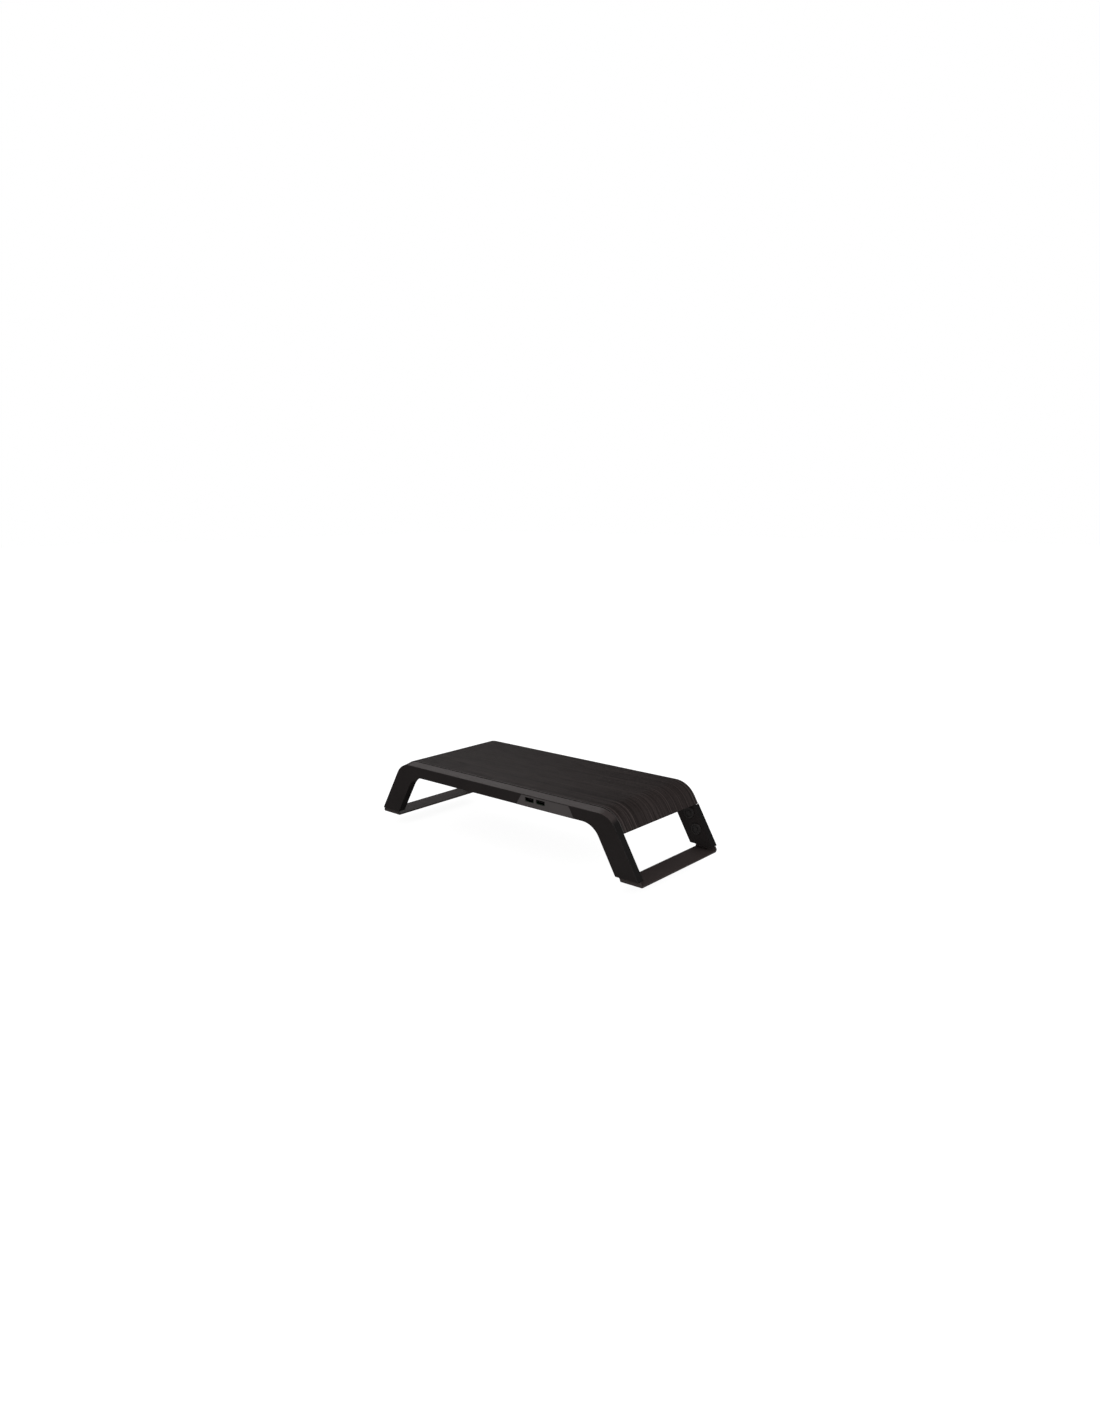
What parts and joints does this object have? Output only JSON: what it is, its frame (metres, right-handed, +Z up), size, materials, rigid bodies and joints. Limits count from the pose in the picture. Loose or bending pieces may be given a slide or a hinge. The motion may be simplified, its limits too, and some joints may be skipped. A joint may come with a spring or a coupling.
{
  "type": "monitor riser stand",
  "caption": "Low bridge-shaped riser that lifts a monitor above the desk, with a bent woodgrain board, splayed legs, sliding steel feet for height and a small port hub in its front rail.",
  "frame": {"origin": "on the desk under the middle of the stand, at the bottom centre of its box at the lowest height setting", "axes": "+X along the board to the right as seen from the front, +Y towards the back, +Z up; the face with the ports faces -Y"},
  "size_m": [0.62, 0.232, 0.1155],
  "materials": {
    "frame_plastic": "fine-textured near-black moulded plastic, satin on the sloped top edge",
    "woodgrain_board": "black-brown open-grain woodgrain laminate, grain along the length",
    "painted_steel": "black powder coat with a fine texture",
    "screw_steel": "plain zinc-plated steel",
    "insert_brass": "turned brass",
    "fascia_plastic": "dark grey satin moulded plastic",
    "case_plastic": "black moulded plastic",
    "circuit_laminate": "green solder mask",
    "contact_plastic": "black insulating plastic",
    "port_steel": "plated sheet steel",
    "pad_rubber": "black rubber",
    "knob_plastic": "black moulded plastic"
  },
  "bodies": {
    "stand": {"front_frame": "frame_plastic", "rear_frame": "frame_plastic", "top_board": "woodgrain_board", "left_cross_rail": "painted_steel", "middle_cross_rail": "painted_steel", "right_cross_rail": "painted_steel", "rail_screws": "screw_steel", "board_screws": "screw_steel", "front_clamp_inserts": "insert_brass", "rear_clamp_inserts": "insert_brass", "hub_fascia": "fascia_plastic", "hub_tray": "case_plastic", "hub_lid": "case_plastic", "hub_circuit": "circuit_laminate", "hub_chip": "contact_plastic", "left_port_shell": "port_steel", "left_port_tongue": "contact_plastic", "right_port_shell": "port_steel", "right_port_tongue": "contact_plastic", "inlet_shell": "port_steel", "inlet_blade": "contact_plastic", "hub_screws": "screw_steel"},
    "left_foot": {"left_foot_bracket": "painted_steel", "left_front_pad": "pad_rubber", "left_rear_pad": "pad_rubber"},
    "right_foot": {"right_foot_bracket": "painted_steel", "right_front_pad": "pad_rubber", "right_rear_pad": "pad_rubber"},
    "left_front_lower_knob": {"left_front_lower_knob": "knob_plastic", "left_front_lower_stud": "screw_steel"},
    "left_front_upper_knob": {"left_front_upper_knob": "knob_plastic", "left_front_upper_stud": "screw_steel"},
    "left_rear_lower_knob": {"left_rear_lower_knob": "knob_plastic", "left_rear_lower_stud": "screw_steel"},
    "left_rear_upper_knob": {"left_rear_upper_knob": "knob_plastic", "left_rear_upper_stud": "screw_steel"},
    "right_front_lower_knob": {"right_front_lower_knob": "knob_plastic", "right_front_lower_stud": "screw_steel"},
    "right_front_upper_knob": {"right_front_upper_knob": "knob_plastic", "right_front_upper_stud": "screw_steel"},
    "right_rear_lower_knob": {"right_rear_lower_knob": "knob_plastic", "right_rear_lower_stud": "screw_steel"},
    "right_rear_upper_knob": {"right_rear_upper_knob": "knob_plastic", "right_rear_upper_stud": "screw_steel"}
  },
  "joints": [
    {"name": "left_foot_slide", "type": "slide", "parent": "stand", "child": "left_foot", "axis": [-0.5, 0, -0.866], "range_m": [0, 0.02]},
    {"name": "right_foot_slide", "type": "slide", "parent": "stand", "child": "right_foot", "axis": [0.5, 0, -0.866], "range_m": [0, 0.02]},
    {"name": "left_front_lower_knob_turn", "type": "hinge", "parent": "stand", "child": "left_front_lower_knob", "pos_m": [-0.274, -0.101, 0.03755], "axis": [0, 1, 0], "range_deg": [0, 720]},
    {"name": "left_front_upper_knob_turn", "type": "hinge", "parent": "stand", "child": "left_front_upper_knob", "pos_m": [-0.2585, -0.101, 0.06439], "axis": [0, 1, 0], "range_deg": [0, 720]},
    {"name": "left_rear_lower_knob_turn", "type": "hinge", "parent": "stand", "child": "left_rear_lower_knob", "pos_m": [-0.274, 0.101, 0.03755], "axis": [0, -1, 0], "range_deg": [0, 720]},
    {"name": "left_rear_upper_knob_turn", "type": "hinge", "parent": "stand", "child": "left_rear_upper_knob", "pos_m": [-0.2585, 0.101, 0.06439], "axis": [0, -1, 0], "range_deg": [0, 720]},
    {"name": "right_front_lower_knob_turn", "type": "hinge", "parent": "stand", "child": "right_front_lower_knob", "pos_m": [0.274, -0.101, 0.03755], "axis": [0, 1, 0], "range_deg": [0, 720]},
    {"name": "right_front_upper_knob_turn", "type": "hinge", "parent": "stand", "child": "right_front_upper_knob", "pos_m": [0.2585, -0.101, 0.06439], "axis": [0, 1, 0], "range_deg": [0, 720]},
    {"name": "right_rear_lower_knob_turn", "type": "hinge", "parent": "stand", "child": "right_rear_lower_knob", "pos_m": [0.274, 0.101, 0.03755], "axis": [0, -1, 0], "range_deg": [0, 720]},
    {"name": "right_rear_upper_knob_turn", "type": "hinge", "parent": "stand", "child": "right_rear_upper_knob", "pos_m": [0.2585, 0.101, 0.06439], "axis": [0, -1, 0], "range_deg": [0, 720]}
  ]
}
